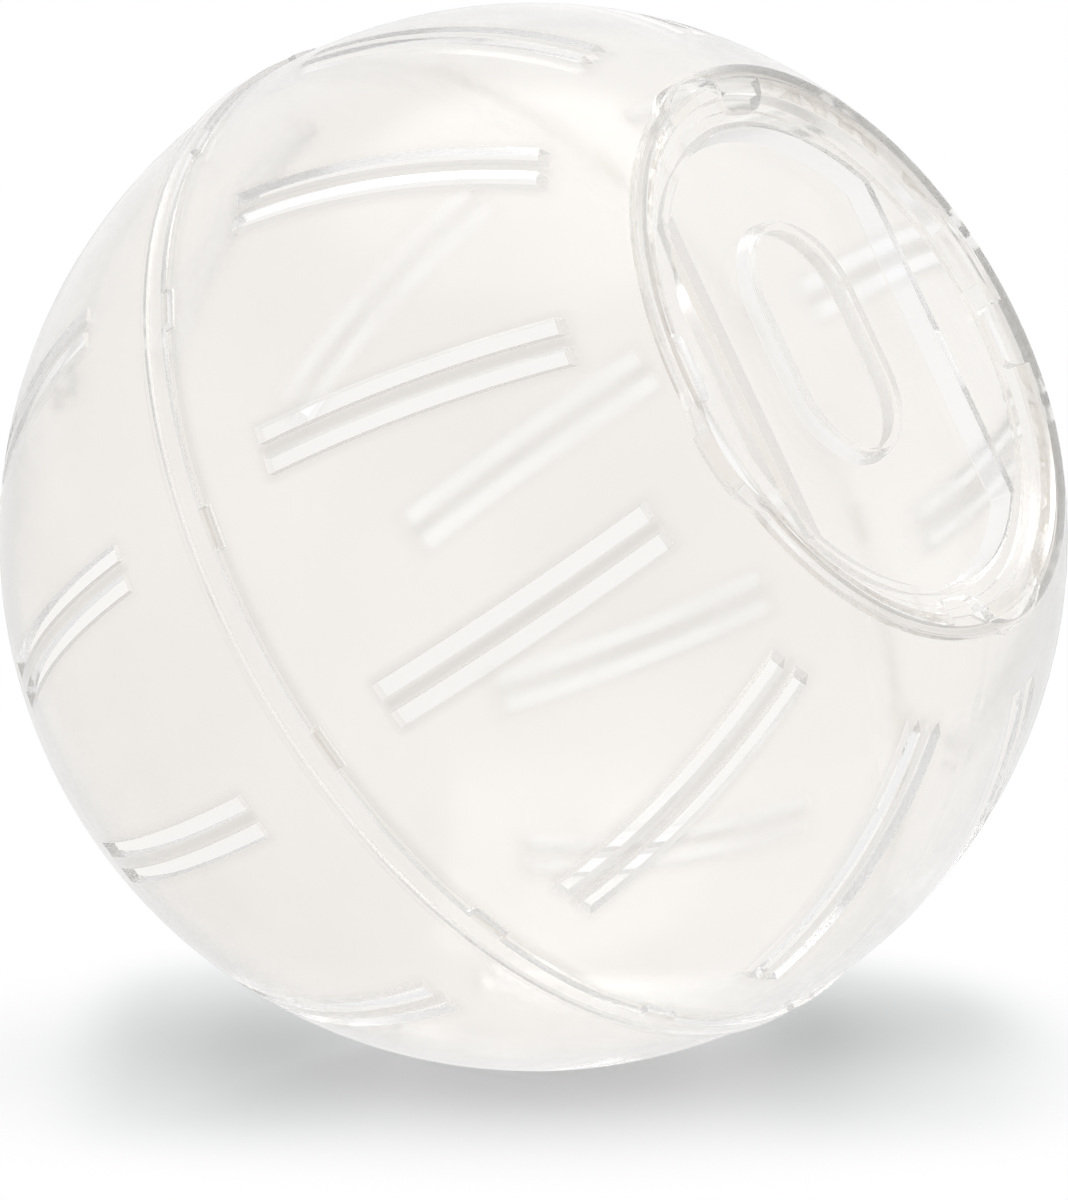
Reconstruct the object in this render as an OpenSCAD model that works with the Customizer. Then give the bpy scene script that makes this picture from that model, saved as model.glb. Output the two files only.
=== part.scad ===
// Clear ball that a hamster runs about in: two moulded halves that meet at a lapped
// seam, and a round lid that drops into a collar and is turned by a grip in its face.
// The lid's axis is tilted up as the ball lies, and the floor is the plane z = 0.

/* [Ball] */
// Outside diameter of the ball
ball_d = 178; // [165:1:290]
// Thickness of every moulded wall
wall = 1.8; // [1.5:0.1:2.1]
// Height of the lid's axis above the horizontal, in degrees
lid_tilt = 30; // [0:1:90]
// Diameter of the flat on the closed end, inside its rounded edge
end_flat_d = 95; // [70:1:105]
// Radius of the rounded edge of that flat
end_round_r = 12; // [6:0.5:20]

/* [Seam] */
// Length of the lap where the two halves meet
seam_lap = 4.8; // [3.5:0.1:6]
// Height of the lip's edge above the ball's middle plane, towards the lid
seam_step_z = 3.3; // [2:0.1:4]
// Thickness of the outer lip, on the closed half
lip_t = 1.2; // [1:0.1:1.6]
// Thickness of the inner tongue, on the lid half
tongue_t = 1.1; // [0.8:0.1:1.3]
// Gap between the lip and the tongue
seam_gap = 0.3; // [0.2:0.05:0.4]
// Length of the bevel where the lip rises from the closed half
lip_bevel_h = 2.4; // [1:0.1:4]
// Number of key tabs on the lip's edge
tab_count = 14; // [3:1:18]
// Width of a key tab
tab_w = 7; // [3:0.1:9]
// Height of a key tab above the lip's edge
tab_h = 1.5; // [0.8:0.1:2]
// Gap round a key tab in its notch
tab_gap = 0.3; // [0.2:0.05:0.5]
// Turn of the key tabs about the axis, in degrees
tab_turn = 5.1; // [0:0.1:30]

/* [Air vents] */
// Number of vents round each half
vent_count = 12; // [6:1:14]
// Width of one slit, narrow enough for small feet
slit_w = 2.9; // [2:0.1:3.4]
// Width of the bar between the two slits of a vent
bar_w = 2.4; // [1.6:0.1:3]
// Height of a vent's near end above the ball's middle plane
vent_near = 17; // [12:0.5:24]
// Height of a vent's far end above the ball's middle plane
vent_far = 62; // [40:0.5:63]
// Turn of the lid half's vents about the axis, in degrees
lid_vent_turn = 17.4; // [0:0.1:30]
// Turn of the closed half's vents about the axis, in degrees
end_vent_turn = 20.4; // [0:0.1:30]

/* [Door opening] */
// Diameter of the opening that the lid's ring drops into
opening_d = 99; // [92:0.5:101]
// Width of the flat round the opening
rim_flat_w = 2.1; // [1.6:0.1:3]
// Thickness of the collar's wall
collar_t = 1.2; // [1:0.1:1.8]
// Depth of the collar below the flat
collar_h = 2.7; // [2.5:0.1:3.2]
// Thickness of the seat ring that the lid rests on
seat_t = 1.2; // [0.9:0.1:1.4]
// Width of the seat ring
seat_w = 2.3; // [1.8:0.1:2.6]
// Number of lugs, and of the notches that they drop through
lug_count = 4; // [2:1:5]
// Turn of the notches about the axis, in degrees
notch_turn = 15.3; // [0:0.1:90]
// How far a notch reaches out past the opening
notch_depth = 1.8; // [1.4:0.1:1.9]
// Radius of a notch's round back
notch_r = 16; // [12:0.5:18]
// Thickness of the wall behind a notch
notch_wall = 1.4; // [1:0.1:1.8]

/* [Lid] */
// Gap all round between the lid and what it drops into
lid_gap = 0.3; // [0.2:0.05:0.5]
// Width of the sloping ring round the lid
ring_w = 7.6; // [7:0.1:9]
// Width of the flat along the ring's outer edge
ring_edge_w = 0.8; // [0.4:0.1:1.2]
// How far the ring falls towards the middle
ring_fall = 2.2; // [1:0.1:2.3]
// Depth of the skirt below the seat's face
skirt_h = 3; // [2.8:0.1:4]
// Width of a lug, along the skirt
lug_w = 10.8; // [8:0.1:12]
// Height of a lug
lug_h = 1.2; // [0.9:0.1:1.3]
// Gap between a lug's end and the back of its notch
lug_gap = 0.4; // [0.3:0.1:0.6]
// Turn of the windows in the ring about the axis, in degrees
window_turn = -3; // [-10:0.5:10]
// Width of a window
window_w = 11.6; // [9:0.1:13]
// Length of the window, from the ring's edge inwards
window_len = 5.4; // [4:0.1:5.6]
// Radius of the window's inner corners
window_r = 3; // [1.5:0.1:4]
// Width of the finger channel sunk across the lid
channel_w = 60.6; // [54:0.1:66]
// Depth of the finger channel
channel_h = 4.4; // [3.6:0.1:6]
// Draft of the channel's and the grip's sides, in degrees
draft = 12; // [4:1:16]

/* [Grip] */
// Length of the grip at its foot
grip_len = 43.6; // [36:0.1:48]
// Width of the grip at its foot
grip_w = 28.8; // [22:0.1:32]
// Height of the grip above the channel's floor
grip_h = 3.1; // [2.4:0.1:4]
// Distance of the grip's middle from the lid's centre, towards the ball's top
grip_shift = 4; // [0:0.1:5]
// Height of the bevel round the grip's top
grip_bevel_h = 0.8; // [0.3:0.1:1]
// Slope of that bevel from the upright, in degrees
grip_bevel_slope = 45; // [20:1:60]

/* [Hidden] */
$fn = 96;
over = 1;
clear_tint = [0.94, 0.93, 0.90, 0.45];
lid_tint = [0.90, 0.92, 0.93, 0.55];

// The side of the ball that lies uppermost faces this way about the axis
top_turn = 180;

ball_r = ball_d / 2;
inner_r = ball_r - wall;
opening_r = opening_d / 2;
rim_r = opening_r + rim_flat_w;
rim_z = sqrt(pow(ball_r, 2) - pow(rim_r, 2));

collar_r = opening_r + collar_t;
collar_low_z = rim_z - collar_h;
seat_z = collar_low_z + seat_t;
seat_r = opening_r - seat_w;
notch_mid_r = opening_r + notch_depth - notch_r;

tongue_r = inner_r + tongue_t;
tongue_low_z = seam_step_z - seam_lap + seam_gap;
lip_in_r = tongue_r + seam_gap;
lip_out_r = lip_in_r + lip_t;
lip_foot_z = seam_step_z - seam_lap;

end_flat_r = end_flat_d / 2;
end_mid_z = sqrt(pow(ball_r - end_round_r, 2) - pow(end_flat_r, 2));
end_edge_share = end_mid_z / (ball_r - end_round_r);

ring_r = opening_r - lid_gap;
ring_in_r = ring_r - ring_w;
panel_z = rim_z - ring_fall;
skirt_r = seat_r - lid_gap;
skirt_low_z = seat_z - skirt_h;
lug_top_z = collar_low_z - lid_gap;
lug_low_z = lug_top_z - lug_h;
floor_z = panel_z - channel_h;

// A ring about the axis, from one height to another
module ring(inside_r, outside_r, low_z, high_z)
{
    difference()
    {
        translate([0, 0, low_z])
            cylinder(r = outside_r, h = high_z - low_z);
        translate([0, 0, low_z - over])
            cylinder(r = inside_r, h = high_z - low_z + 2 * over);
    }
}

// A slab that takes in the whole ball, from one height to another
module slab(low_z, high_z)
{
    translate([0, 0, low_z])
        cylinder(r = ball_r + over, h = high_z - low_z);
}

// Lays the ball on the floor with its lid's axis tilted up
module as_it_lies()
{
    translate([0, 0, ball_r])
        rotate([0, 90 - lid_tilt, 0])
            children();
}

// Repeats its children about the axis, the first one turned from the top side
module around(count, first_turn)
{
    for (i = [0 : count - 1])
        rotate([0, 0, top_turn + first_turn + i * 360 / count])
            children();
}

// The two long slits of one vent, with the bar that stays between them
module vent_slits()
{
    slit_mid = (bar_w + slit_w) / 2;
    for (side = [-1, 1])
        translate([collar_r, side * slit_mid - slit_w / 2, vent_near])
            cube([ball_r - collar_r + over, slit_w, vent_far - vent_near]);
}

// A key tab of the lip, grown by a gap on its free sides
module key_tab(gap)
{
    translate([lip_in_r - gap, -tab_w / 2 - gap, seam_step_z - over])
        cube([ball_r - lip_in_r + gap + over, tab_w + 2 * gap, tab_h + gap + over]);
}

// The round notch that lets a lug drop past the seat ring, grown by a skin
module notch(skin, low_z, high_z)
{
    translate([notch_mid_r, 0, low_z])
        cylinder(r = notch_r + skin, h = high_z - low_z);
}

// Collar round the opening, with the seat ring and the walls behind the notches
module collar()
{
    intersection()
    {
        sphere(r = ball_r);
        union()
        {
            ring(seat_r, opening_r, collar_low_z, seat_z);
            ring(opening_r, collar_r, collar_low_z, rim_z);
            difference()
            {
                around(lug_count, notch_turn)
                    notch(notch_wall, collar_low_z, rim_z);
                translate([0, 0, collar_low_z - over])
                    cylinder(r = opening_r, h = collar_h + 2 * over);
            }
        }
    }
}

module lid_half_shell()
{
    difference()
    {
        intersection()
        {
            sphere(r = ball_r);
            slab(seam_step_z, rim_z);
        }
        sphere(r = inner_r);
        cylinder(r = opening_r, h = ball_r);
    }
}

module lid_half()
{
    color(clear_tint)
    as_it_lies()
    difference()
    {
        union()
        {
            lid_half_shell();
            collar();
            ring(inner_r, tongue_r, tongue_low_z, seam_step_z + wall);
        }
        around(lug_count, notch_turn)
            notch(0, collar_low_z - over, rim_z + over);
        around(vent_count, lid_vent_turn)
            vent_slits();
        around(tab_count, tab_turn)
            key_tab(tab_gap);
    }
}

// A ball with one flattened end, whose edge is rounded, as far in as the inset says
module flat_ended_ball(inset)
{
    round_r = end_round_r - inset;
    flat_z = end_mid_z + round_r;
    intersection()
    {
        sphere(r = ball_r - inset);
        slab(-(ball_r - inset) * end_edge_share, ball_r);
    }
    translate([0, 0, -end_mid_z])
        rotate_extrude()
            translate([end_flat_r, 0])
                circle(r = round_r);
    translate([0, 0, -flat_z])
        cylinder(r = end_flat_r, h = flat_z);
}

// Lip of the closed half, which rises outside the shell by a bevel
module lip()
{
    difference()
    {
        union()
        {
            translate([0, 0, lip_foot_z - lip_bevel_h])
                cylinder(r1 = inner_r, r2 = lip_out_r, h = lip_bevel_h);
            translate([0, 0, lip_foot_z])
                cylinder(r = lip_out_r, h = seam_lap);
            intersection()
            {
                ring(lip_in_r, lip_out_r, seam_step_z - over, seam_step_z + tab_h);
                around(tab_count, tab_turn)
                    key_tab(0);
            }
        }
        translate([0, 0, lip_foot_z])
            cylinder(r = lip_in_r, h = seam_lap + tab_h + over);
        translate([0, 0, lip_foot_z - lip_bevel_h - over])
            cylinder(r = inner_r, h = lip_bevel_h + 2 * over);
    }
}

module closed_half()
{
    color(clear_tint)
    as_it_lies()
    {
        difference()
        {
            intersection()
            {
                flat_ended_ball(0);
                slab(-ball_r, lip_foot_z);
            }
            flat_ended_ball(wall);
            around(vent_count, end_vent_turn)
                mirror([0, 0, 1])
                    vent_slits();
        }
        lip();
    }
}

// A straight bar whose long sides lean in by the draft as they rise
module drafted_bar(foot_w, length, height)
{
    lean = height * tan(draft);
    half = foot_w / 2;
    rotate([90, 0, 90])
        translate([0, 0, -length / 2])
            linear_extrude(height = length)
                polygon([[-half, 0], [half, 0], [half - lean, height], [lean - half, height]]);
}

// A flat-ended oval block with leaning sides, its foot on the plane z = 0
module drafted_oval(length, width, height, slope)
{
    lean = height * tan(slope);
    half = width / 2;
    straight = length - width;
    for (side = [-1, 1])
        translate([side * straight / 2, 0, 0])
            cylinder(r1 = half, r2 = half - lean, h = height);
    rotate([90, 0, 90])
        translate([0, 0, -straight / 2])
            linear_extrude(height = straight)
                polygon([[-half, 0], [half, 0], [half - lean, height], [lean - half, height]]);
}

// The finger channel, grown sideways by a skin, from one height to another
module channel(skin, low_z, high_z)
{
    drop = panel_z - low_z;
    rise = high_z - low_z;
    low_r = ring_in_r + skin - drop * tan(draft);
    low_half = channel_w / 2 + skin - drop * tan(draft);
    high_lean = rise * tan(draft);
    translate([0, 0, low_z])
        intersection()
        {
            cylinder(r1 = low_r, r2 = low_r + high_lean, h = rise);
            rotate([90, 0, 90])
                translate([0, 0, -opening_r])
                    linear_extrude(height = opening_d)
                        polygon([
                            [-low_half, 0],
                            [low_half, 0],
                            [low_half + high_lean, rise],
                            [-low_half - high_lean, rise]
                        ]);
        }
}

// The grip's outer form, with a bevel round its top
module grip_block()
{
    side_h = grip_h - grip_bevel_h;
    side_lean = side_h * tan(draft);
    translate([-grip_shift, 0, floor_z])
    {
        drafted_oval(grip_len, grip_w, side_h, draft);
        translate([0, 0, side_h])
            drafted_oval(
                grip_len - 2 * side_lean,
                grip_w - 2 * side_lean,
                grip_bevel_h,
                grip_bevel_slope
            );
    }
}

// The hollow under the grip, which leaves it one wall thick
module grip_hollow()
{
    hollow_h = grip_h + over;
    foot_lean = (over + wall) * tan(draft);
    translate([-grip_shift, 0, floor_z - wall - over])
        drafted_oval(
            grip_len - 2 * wall + 2 * foot_lean,
            grip_w - 2 * wall + 2 * foot_lean,
            hollow_h,
            draft
        );
}

// A window sunk in the ring, open at its edge and rounded at its inner corners
module window()
{
    low_z = panel_z - wall / 2;
    high = rim_z - low_z + over;
    inner_end = ring_r - window_len;
    translate([inner_end, 0, low_z])
    {
        translate([window_r, -window_w / 2, 0])
            cube([window_len, window_w, high]);
        translate([0, window_r - window_w / 2, 0])
            cube([window_r + over, window_w - 2 * window_r, high]);
        for (side = [-1, 1])
            translate([window_r, side * (window_w / 2 - window_r), 0])
                cylinder(r = window_r, h = high);
    }
}

// A lug, which stands out from the skirt below the seat ring
module lug()
{
    intersection()
    {
        notch(-lug_gap, lug_low_z, lug_top_z);
        translate([skirt_r - wall / 2, -lug_w / 2, lug_low_z])
            cube([opening_r, lug_w, lug_h]);
    }
}

// Plate, sloping ring and skirt of the lid, before the channel is sunk in it
module lid_blank()
{
    difference()
    {
        union()
        {
            translate([0, 0, seat_z])
                cylinder(r = ring_r, h = rim_z - seat_z);
            translate([0, 0, panel_z - wall])
                cylinder(r = skirt_r, h = rim_z - panel_z + wall);
        }
        translate([0, 0, panel_z])
            cylinder(r1 = ring_in_r, r2 = ring_r - ring_edge_w, h = ring_fall);
        translate([0, 0, rim_z])
            cylinder(r = ring_r - ring_edge_w, h = over);
    }
    ring(skirt_r - wall, skirt_r, skirt_low_z, panel_z - wall / 2);
}

module lid()
{
    color(lid_tint)
    as_it_lies()
    difference()
    {
        union()
        {
            difference()
            {
                union()
                {
                    lid_blank();
                    channel(wall, floor_z - wall, panel_z - wall / 2);
                }
                channel(0, floor_z, panel_z + over);
            }
            grip_block();
            around(lug_count, notch_turn)
                lug();
        }
        grip_hollow();
        around(lug_count, window_turn)
            window();
    }
}

lid_half();
closed_half();
lid();
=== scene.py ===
import math
import bpy
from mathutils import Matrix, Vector

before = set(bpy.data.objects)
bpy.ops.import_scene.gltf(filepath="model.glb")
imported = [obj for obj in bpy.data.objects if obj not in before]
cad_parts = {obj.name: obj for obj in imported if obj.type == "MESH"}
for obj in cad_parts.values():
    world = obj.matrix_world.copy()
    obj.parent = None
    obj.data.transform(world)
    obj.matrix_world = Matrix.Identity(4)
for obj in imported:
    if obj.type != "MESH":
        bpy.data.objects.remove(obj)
bpy.context.view_layer.update()
scene = bpy.context.scene

# Lengths are in metres. A fade is written as four numbers: it goes from the third to the fourth while
# what it follows goes from the first to the second. With only two numbers, it goes from 0 to 1.

# The ball, where the CAD has it. Places along the lid's axis are counted from the ball's centre.
BALL_R = 0.089
CENTRE = Vector((0, 0, BALL_R))
TILT = math.radians(30)  # how far the axis rises
LID_AXIS = (math.cos(TILT), 0, math.sin(TILT))
TOP_SIDE = (-math.sin(TILT), 0, math.cos(TILT))  # square to the axis: turns start here
NEAR_SIDE = (0, -1, 0)   # and go towards here
LAP = (-0.0016, 0.0034)  # where the halves overlap, along the axis
LAP_R = (0.08805, 0.08885)  # takes in both faces of the gap between them, from the centre
LIP_EDGE = 0.0033        # where the outer lip ends, along the axis
RIM_R = 0.0502           # the edge of the opening, from the axis
RIM_FROM = 0.06          # it lies past this place along the axis
VENT_STEP = math.radians(30)
VENT_TURN = {"lid_half": math.radians(17.4), "closed_half": math.radians(20.4)}
VENT_MID, VENT_HALF = 0.0395, 0.0225  # a slit's middle and half length, along the axis
SLIT_MID, SLIT_HALF = 0.00265, 0.00145  # and across it

# The camera, at the photo's angle and distance. The photo is 1068 by 1200 pixels.
CAM_AZ = math.radians(33.7)
CAM_EL = math.radians(8.7)
CAM_DIST = 16 * BALL_R
CAM_FAR = 50.0
LENS = 256.0
SENSOR = 36.0
SHIFT = (0.0004, -0.0525)
TO_CAMERA = (math.sin(CAM_AZ), -math.cos(CAM_AZ), 0)  # along the floor
TO_RIGHT = (math.cos(CAM_AZ), math.sin(CAM_AZ), 0)    # as the camera sees it

# The plastic.
WHITE = (1, 1, 1)
IOR = 1.2                # low, as the photo's edges are soft and pale
GLOSS = (0.10, 0.17)     # roughness, from and to
GLOSS_NOISE = (90.0, 3.0)  # a noise's scale and detail
GLOSS_FADE = (0.35, 0.7, *GLOSS)
SIDE_GLOSS = 0.2         # roughness of narrow side faces
BROAD_FADE = (0.35, 0.8)  # from a side face to a broad one, by how squarely it faces outward
RIPPLE_NOISE = (45.0, 1.0)
RIPPLE = {"Strength": 0.08, "Distance": 0.0004}
MURK = (0.50, 0.47, 0.40, 1)  # what the plastic's depth lets through
MURK_DENSITY = 0.6

# Its tint: warm, cool, and how much lighter where the wall is seen edge-on, which is a painted sheen.
TINT = {
    "closed_half": ((0.93, 0.912, 0.892), (0.962, 0.948, 0.928), 0.25),
    "lid_half": ((0.925, 0.908, 0.888), (0.978, 0.964, 0.943), 0.8),
    "lid": ((0.955, 0.94, 0.92), (0.985, 0.973, 0.955), 0.5)}
PATCH_NOISE = (14.0, 2.0)
PATCH_FADE = (0.3, 0.7, -0.25, 0.75)  # from warm to cool in patches
DRIFT_FADE = (-0.06, 0.06, 0, 0.5)    # and along the axis
EDGE_ON_SHEEN = (0.3, 0.9)     # where it gets lighter: a painted sheen

# Painted shade, laid into the tint along every rounded edge of the ball, standing in for the darker lines
# that refraction draws there.
# painted shade around each slit
PAINTED_EDGE_SHADE = (0.885, 0.87, 0.85)
EDGE_FADE = (0, 0.0022, 1, 0)  # from a slit's edge
# painted shade along the middle of the bar between two slits
PAINTED_BAR_SHADE = (0.82, 0.81, 0.792)
BAR_FADE = (0.0003, 0.0011, 1, 0)  # from the middle of the bar between two slits
BAR_END = (0, 0.001, 1, 0)  # from the bar's end
# painted shade along the seam
PAINTED_SEAM_SHADE = (0.835, 0.825, 0.80)
SLIM_FADE = (0, 0.0011, 0.5, 0)  # from where the lap begins
LIP_LINE = 0.003         # how far that shade reaches from the lip's edge
# painted shade along the edge of the opening
PAINTED_RIM_SHADE = (0.79, 0.775, 0.75)
RIM_FADE = (0.0002, 0.0014, 1, 0)  # from the edge of the opening

# The studio's light, as shares of white. Heights in the sky go up to 1, straight overhead.
AMBIENT = 0.4            # plain light from all round
SKY_LAMP = 1.93          # the lamp overhead
LAMP_WIDE = math.radians(170)  # almost as wide as the sky
LAMP_Z = 1.3
MIRROR_FLOOR = 0.9       # what mirrored rays meet on the floor
MIRROR_SKY = ((0.25, 1.0), (0.5, 1.1), (0.8, 1.1), (0.92, 4.0))  # and in the sky: height, and share
BACK_SIDE = (TO_CAMERA[0], TO_CAMERA[1], 0.1)  # the camera's side of the room
BACK_FADE = (0.2, 0.9, 1, 0.92)  # is dimmer

# The floor, and how much of its shadow is lifted away, from 0 for none of it to 1 for all.
FLOOR_REACH = 6.0
FLOOR_Z = -0.0003        # just under the ball
FLOOR_COLOUR = (0.95, 0.985, 0.985, 1)  # cool, as the photo's shadow is
THROUGH = 0.8            # the least that is lifted where the floor is seen through the plastic
LIFT_FADE = (0.02, 0.105, 0.42, 1)  # out from the shadow's middle
SHADOW_LEFT = 0.003      # how far that middle lies to the left
SHADOW_WIDE = 1.3        # how much wider the shadow is than deep
LEFT_DIP = (0.5, 0.25)   # how much less of it is lifted on the left, behind the ball and in front
LEFT_SPAN = ((-0.082, -0.062), (-0.05, -0.015))  # that dip comes on over the first, and goes over the second
RIGHT_DIP = (0.65, 0.15)
RIGHT_SPAN = ((0.03, 0.055), (0.075, 0.1))
DIP_DEEP = (-0.05, 0.02)  # both go from their depth behind the ball to the one in front
DIP_AHEAD = (0.04, 0.09, 1, 0)  # and end in front of the ball
DIP_OUT = (0.085, 0.12, 1, 0)   # and away from where it stands

BOUNCES = 64             # a ray meets many faces of clear plastic


class Tree:
    """A node tree, built with short calls. A socket given as a value is linked, anything else is set."""

    def __init__(self, owner):
        owner.use_nodes = True
        self.tree = owner.node_tree
        self.tree.nodes.clear()

    def put(self, socket, value):
        if isinstance(value, bpy.types.NodeSocket):
            self.tree.links.new(value, socket)
        else:
            socket.default_value = value

    def add(self, kind, sockets=None, **settings):
        node = self.tree.nodes.new("ShaderNode" + kind)
        for key, value in settings.items():
            setattr(node, key, value)
        for key, value in (sockets or {}).items():
            self.put(node.inputs[key], value)
        return node

    def math(self, operation, *values):
        return self.add("Math", dict(enumerate(values)), operation=operation).outputs[0]

    def times(self, first, *rest):
        for value in rest:
            first = self.math("MULTIPLY", first, value)
        return first

    def either(self, first, *rest):
        """The highest value. Of masks, 1 where any of them is 1."""
        for value in rest:
            first = self.math("MAXIMUM", first, value)
        return first

    def off(self, value, middle):
        """How far value lies from middle."""
        return self.math("ABSOLUTE", self.math("SUBTRACT", value, middle))

    def beyond(self, value, middle, half):
        """How far value lies outside the stretch from middle - half to middle + half."""
        return self.math("MAXIMUM", self.math("SUBTRACT", self.off(value, middle), half), 0.0)

    def band(self, value, low, high):
        """1 from low to high, 0 outside."""
        return self.times(self.math("GREATER_THAN", value, low), self.math("LESS_THAN", value, high))

    def fade(self, value, low, high, at_low=0.0, at_high=1.0, smooth=True):
        sockets = {"Value": value, "From Min": low, "From Max": high, "To Min": at_low, "To Max": at_high}
        kind = "SMOOTHSTEP" if smooth else "LINEAR"
        return self.add("MapRange", sockets, interpolation_type=kind).outputs["Result"]

    def vector(self, operation, *vectors):
        node = self.add("VectorMath", dict(enumerate(vectors)), operation=operation)
        return node.outputs["Value" if operation in ("DOT_PRODUCT", "LENGTH") else "Vector"]

    def dot(self, a, b):
        return self.vector("DOT_PRODUCT", a, b)

    def diagonal(self, a, b):
        """The long side of a right-angled triangle."""
        return self.math("SQRT", self.math("ADD", self.times(a, a), self.times(b, b)))

    def colour(self, factor, a, b, blend="MIX"):
        node = self.add("Mix", data_type="RGBA", blend_type=blend)
        self.put(node.inputs["Factor"], factor)
        for key, value in (("A", a), ("B", b)):
            if not isinstance(value, bpy.types.NodeSocket):
                value = (*value, 1.0)
            self.put(node.inputs[key], value)
        return node.outputs["Result"]

    def noise(self, place, scale, detail):
        return self.add("TexNoise", {"Vector": place, "Scale": scale, "Detail": detail}).outputs["Fac"]

    def shaders(self, factor, a, b):
        return self.add("MixShader", {0: factor, 1: a, 2: b}).outputs[0]

    def rays(self):
        """The light path, and two masks: mirrored rays, and rays that no matt surface has scattered."""
        path = self.add("LightPath").outputs
        mirrored = self.math("GREATER_THAN", path["Glossy Depth"], 0)
        return path, mirrored, self.math("LESS_THAN", path["Diffuse Depth"], 1)


def vent_painted_shade(tree, across, near, along, turn):
    """Two masks of painted shade: around each slit, and along the middle line of the bar between a pair."""
    turned = tree.math("SUBTRACT", tree.math("ARCTAN2", near, across), turn)
    turned = tree.math("WRAP", turned, VENT_STEP / 2, -VENT_STEP / 2)
    beside = tree.times(tree.diagonal(across, near), tree.math("SINE", turned))
    out_side = tree.beyond(tree.math("ABSOLUTE", beside), SLIT_MID, SLIT_HALF)
    out_end = tree.beyond(tree.math("ABSOLUTE", along), VENT_MID, VENT_HALF)
    edge_shade_mask = tree.fade(tree.diagonal(out_side, out_end), *EDGE_FADE)
    bar_shade_mask = tree.times(tree.fade(tree.math("ABSOLUTE", beside), *BAR_FADE), tree.fade(out_end, *BAR_END))
    return edge_shade_mask, bar_shade_mask


def seam_painted_shade(tree, along):
    """Painted shade: a thin line where the lap begins, and one that fades from the lip's edge."""
    slim_shade_mask = tree.fade(tree.off(along, LAP[0]), *SLIM_FADE)
    past = tree.math("GREATER_THAN", along, LIP_EDGE)
    return tree.either(slim_shade_mask, tree.times(past, tree.fade(along, LIP_EDGE, LIP_EDGE + LIP_LINE, 1, 0)))


def half_painted_shade(tree, tint, from_centre, along, turn):
    """The tint with painted shade that follows a half's vents, seam and opening. The lap is clear."""
    across = tree.dot(from_centre, TOP_SIDE)
    near = tree.dot(from_centre, NEAR_SIDE)
    # painted shade around the slits and along the middle of each bar
    edge_shade_mask, bar_shade_mask = vent_painted_shade(tree, across, near, along, turn)
    tint = tree.colour(bar_shade_mask, tree.colour(edge_shade_mask, tint, PAINTED_EDGE_SHADE), PAINTED_BAR_SHADE)
    # painted shade along the seam
    tint = tree.colour(seam_painted_shade(tree, along), tint, PAINTED_SEAM_SHADE)
    # painted shade along the edge of the opening
    rim_shade_mask = tree.fade(tree.off(tree.diagonal(across, near), RIM_R), *RIM_FADE)
    tint = tree.colour(tree.times(rim_shade_mask, tree.math("GREATER_THAN", along, RIM_FROM)), tint, PAINTED_RIM_SHADE)
    away = tree.vector("LENGTH", from_centre)
    return tree.colour(tree.times(tree.band(along, *LAP), tree.band(away, *LAP_R)), tint, WHITE)


def body_tint(tree, place, along, warm, cool, sheen_share):
    """Warm to cool in patches and along the ball, and lighter where the wall is seen edge-on: a painted
    sheen.
    """
    patches = tree.fade(tree.noise(place, *PATCH_NOISE), *PATCH_FADE)
    tint = tree.colour(tree.math("ADD", patches, tree.fade(along, *DRIFT_FADE)), warm, cool)
    # painted sheen: the tint turns lighter where the wall is seen edge-on
    edge_on_sheen = tree.fade(tree.add("LayerWeight").outputs["Facing"], *EDGE_ON_SHEEN, 0, sheen_share)
    return tree.colour(edge_on_sheen, tint, WHITE)


def clear_plastic(name):
    """Clear moulded plastic. The tint keeps to the broad faces, and the narrow ones are duller."""
    material = bpy.data.materials.new(name + "_plastic")
    tree = Tree(material)
    coord = tree.add("TexCoord").outputs
    place = coord["Object"]
    from_centre = tree.vector("SUBTRACT", place, CENTRE)
    along = tree.dot(from_centre, LID_AXIS)
    tint = body_tint(tree, place, along, *TINT[name])
    outward = LID_AXIS
    if name in VENT_TURN:
        tint = half_painted_shade(tree, tint, from_centre, along, VENT_TURN[name])
        outward = tree.vector("NORMALIZE", from_centre)
    broad = tree.fade(tree.math("ABSOLUTE", tree.dot(coord["Normal"], outward)), *BROAD_FADE)
    gloss = tree.fade(tree.noise(place, *GLOSS_NOISE), *GLOSS_FADE, smooth=False)
    ripple = tree.add("Bump", {**RIPPLE, "Height": tree.noise(place, *RIPPLE_NOISE)})
    plastic = tree.add("BsdfPrincipled", {
        "Base Color": tree.colour(broad, WHITE, tint),
        "Roughness": tree.fade(broad, 0, 1, SIDE_GLOSS, gloss, smooth=False),
        "IOR": IOR,
        "Transmission Weight": 1.0,
        "Normal": ripple.outputs["Normal"]})
    inside = tree.add("VolumeAbsorption", {"Color": MURK, "Density": MURK_DENSITY})
    tree.add("OutputMaterial", {"Surface": plastic.outputs["BSDF"], "Volume": inside.outputs["Volume"]})
    return material


def dress():
    """Every piece is a clear moulding whose shape is the CAD's own."""
    for name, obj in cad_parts.items():
        material = clear_plastic(name)
        for slot in obj.material_slots:
            slot.material = material


def side_dip(tree, side, front, dip, span):
    """How much less of the shadow is lifted on one side."""
    there = tree.times(tree.fade(side, *span[0]), tree.fade(side, *span[1], 1, 0))
    return tree.times(there, tree.fade(front, *DIP_DEEP, *dip))


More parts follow.
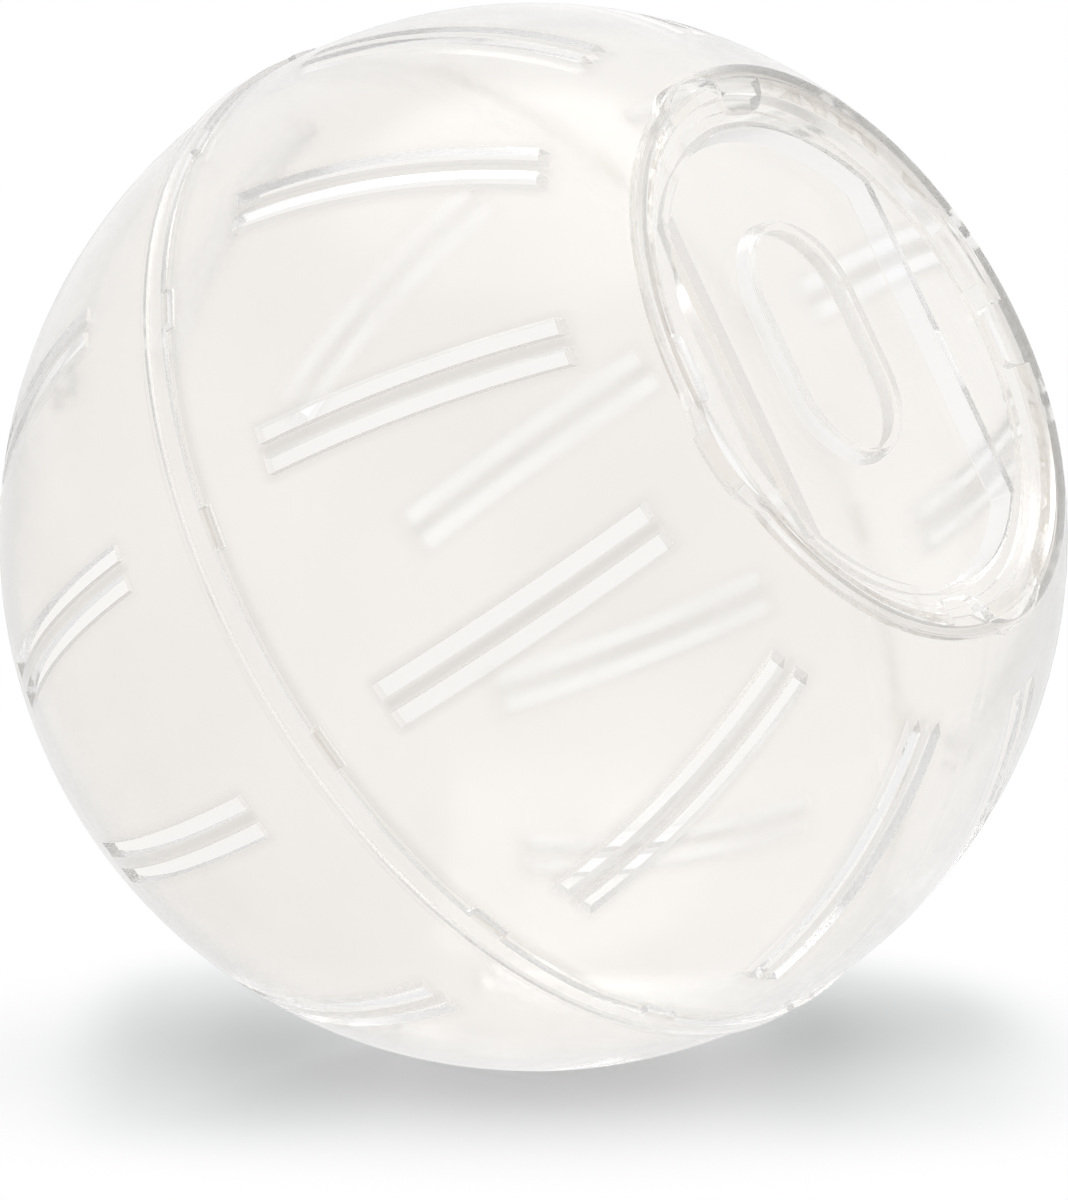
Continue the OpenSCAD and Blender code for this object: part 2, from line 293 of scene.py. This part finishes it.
def shadow_lift(tree):
    """How much of the shadow is lifted away, by the place on the floor."""
    spot = tree.add("NewGeometry").outputs["Position"]
    side = tree.math("ADD", tree.dot(spot, TO_RIGHT), SHADOW_LEFT)
    front = tree.dot(spot, TO_CAMERA)
    left = side_dip(tree, side, front, LEFT_DIP, LEFT_SPAN)
    right = side_dip(tree, side, front, RIGHT_DIP, RIGHT_SPAN)
    dip = tree.times(tree.math("ADD", left, right), tree.fade(front, *DIP_AHEAD))
    dip = tree.times(dip, tree.fade(tree.diagonal(side, front), *DIP_OUT))
    away = tree.diagonal(tree.math("DIVIDE", side, SHADOW_WIDE), front)
    return tree.math("SUBTRACT", tree.fade(away, *LIFT_FADE), dip)


def floor_white():
    """White to the camera but for the shadow, and plain matt to scattered light."""
    material = bpy.data.materials.new("floor_white")
    tree = Tree(material)
    path, mirrored, unscattered = tree.rays()
    lit = tree.add("BsdfDiffuse", {"Color": FLOOR_COLOUR}).outputs[0]
    glow = tree.fade(mirrored, 0, 1, 1, MIRROR_FLOOR, smooth=False)
    white = tree.add("Emission", {"Strength": glow}).outputs[0]
    seen = tree.either(path["Is Camera Ray"], path["Is Transmission Ray"])
    through = tree.times(path["Is Transmission Ray"], THROUGH)
    plain = tree.either(tree.times(seen, shadow_lift(tree)), through, path["Is Glossy Ray"])
    tree.add("OutputMaterial", {"Surface": tree.shaders(tree.times(plain, unscattered), lit, white)})
    return material


def build_floor():
    mesh = bpy.data.meshes.new("floor")
    corners = [(x * FLOOR_REACH, y * FLOOR_REACH, 0) for x, y in ((-1, -1), (1, -1), (1, 1), (-1, 1))]
    mesh.from_pydata(corners, [], [(0, 1, 2, 3)])
    mesh.materials.append(floor_white())
    obj = bpy.data.objects.new("floor", mesh)
    obj.location.z = FLOOR_Z
    scene.collection.objects.link(obj)


def mirrored_room(tree):
    """What mirrored rays meet: a bright panel straight above, and a slightly darker side at the camera."""
    way = tree.add("TexCoord").outputs["Generated"]
    up = tree.add("SeparateXYZ", {0: way}).outputs["Z"]
    ramp = tree.add("ValToRGB", {0: up})
    ramp.color_ramp.interpolation = "EASE"
    stops = ramp.color_ramp.elements
    while len(stops) < len(MIRROR_SKY):
        stops.new(1.0)
    for stop, (height, share) in zip(stops, MIRROR_SKY):
        stop.position = height
        stop.color = (share, share, share, 1)
    back = tree.fade(tree.dot(way, BACK_SIDE), *BACK_FADE)
    return tree.colour(1.0, ramp.outputs["Color"], back, "MULTIPLY")


def build_world():
    """White behind the object, a room of its own for mirrored rays, and plain light on all surfaces."""
    world = bpy.data.worlds.new("studio")
    scene.world = world
    tree = Tree(world)
    path, mirrored, unscattered = tree.rays()
    view = tree.add("Background", {"Color": tree.colour(mirrored, WHITE, mirrored_room(tree))}).outputs[0]
    light = tree.add("Background", {"Color": (*WHITE, 1), "Strength": AMBIENT}).outputs[0]
    seen = tree.either(path["Is Camera Ray"], path["Is Glossy Ray"], path["Is Transmission Ray"])
    tree.add("OutputWorld", {"Surface": tree.shaders(tree.times(seen, unscattered), light, view)})


def build_lamp():
    lamp = bpy.data.lights.new("sky_lamp", "SUN")
    lamp.angle = LAMP_WIDE
    lamp.energy = SKY_LAMP
    obj = bpy.data.objects.new("sky_lamp", lamp)
    obj.location.z = LAMP_Z
    obj.visible_glossy = False
    obj.visible_transmission = False
    scene.collection.objects.link(obj)


def build_camera():
    back = Vector(TO_CAMERA) * math.cos(CAM_EL)
    back.z = math.sin(CAM_EL)
    camera = bpy.data.cameras.new("camera")
    camera.sensor_width = SENSOR
    camera.lens = LENS
    camera.shift_x, camera.shift_y = SHIFT
    camera.clip_end = CAM_FAR
    obj = bpy.data.objects.new("camera", camera)
    obj.location = CENTRE + back * CAM_DIST
    obj.rotation_euler = back.to_track_quat("Z", "Y").to_euler()
    scene.collection.objects.link(obj)
    scene.camera = obj


dress()
build_floor()
build_world()
build_lamp()
build_camera()
scene.view_settings.view_transform = "Standard"
scene.cycles.max_bounces = BOUNCES
scene.cycles.transmission_bounces = BOUNCES
scene.cycles.glossy_bounces = BOUNCES

bpy.context.view_layer.update()
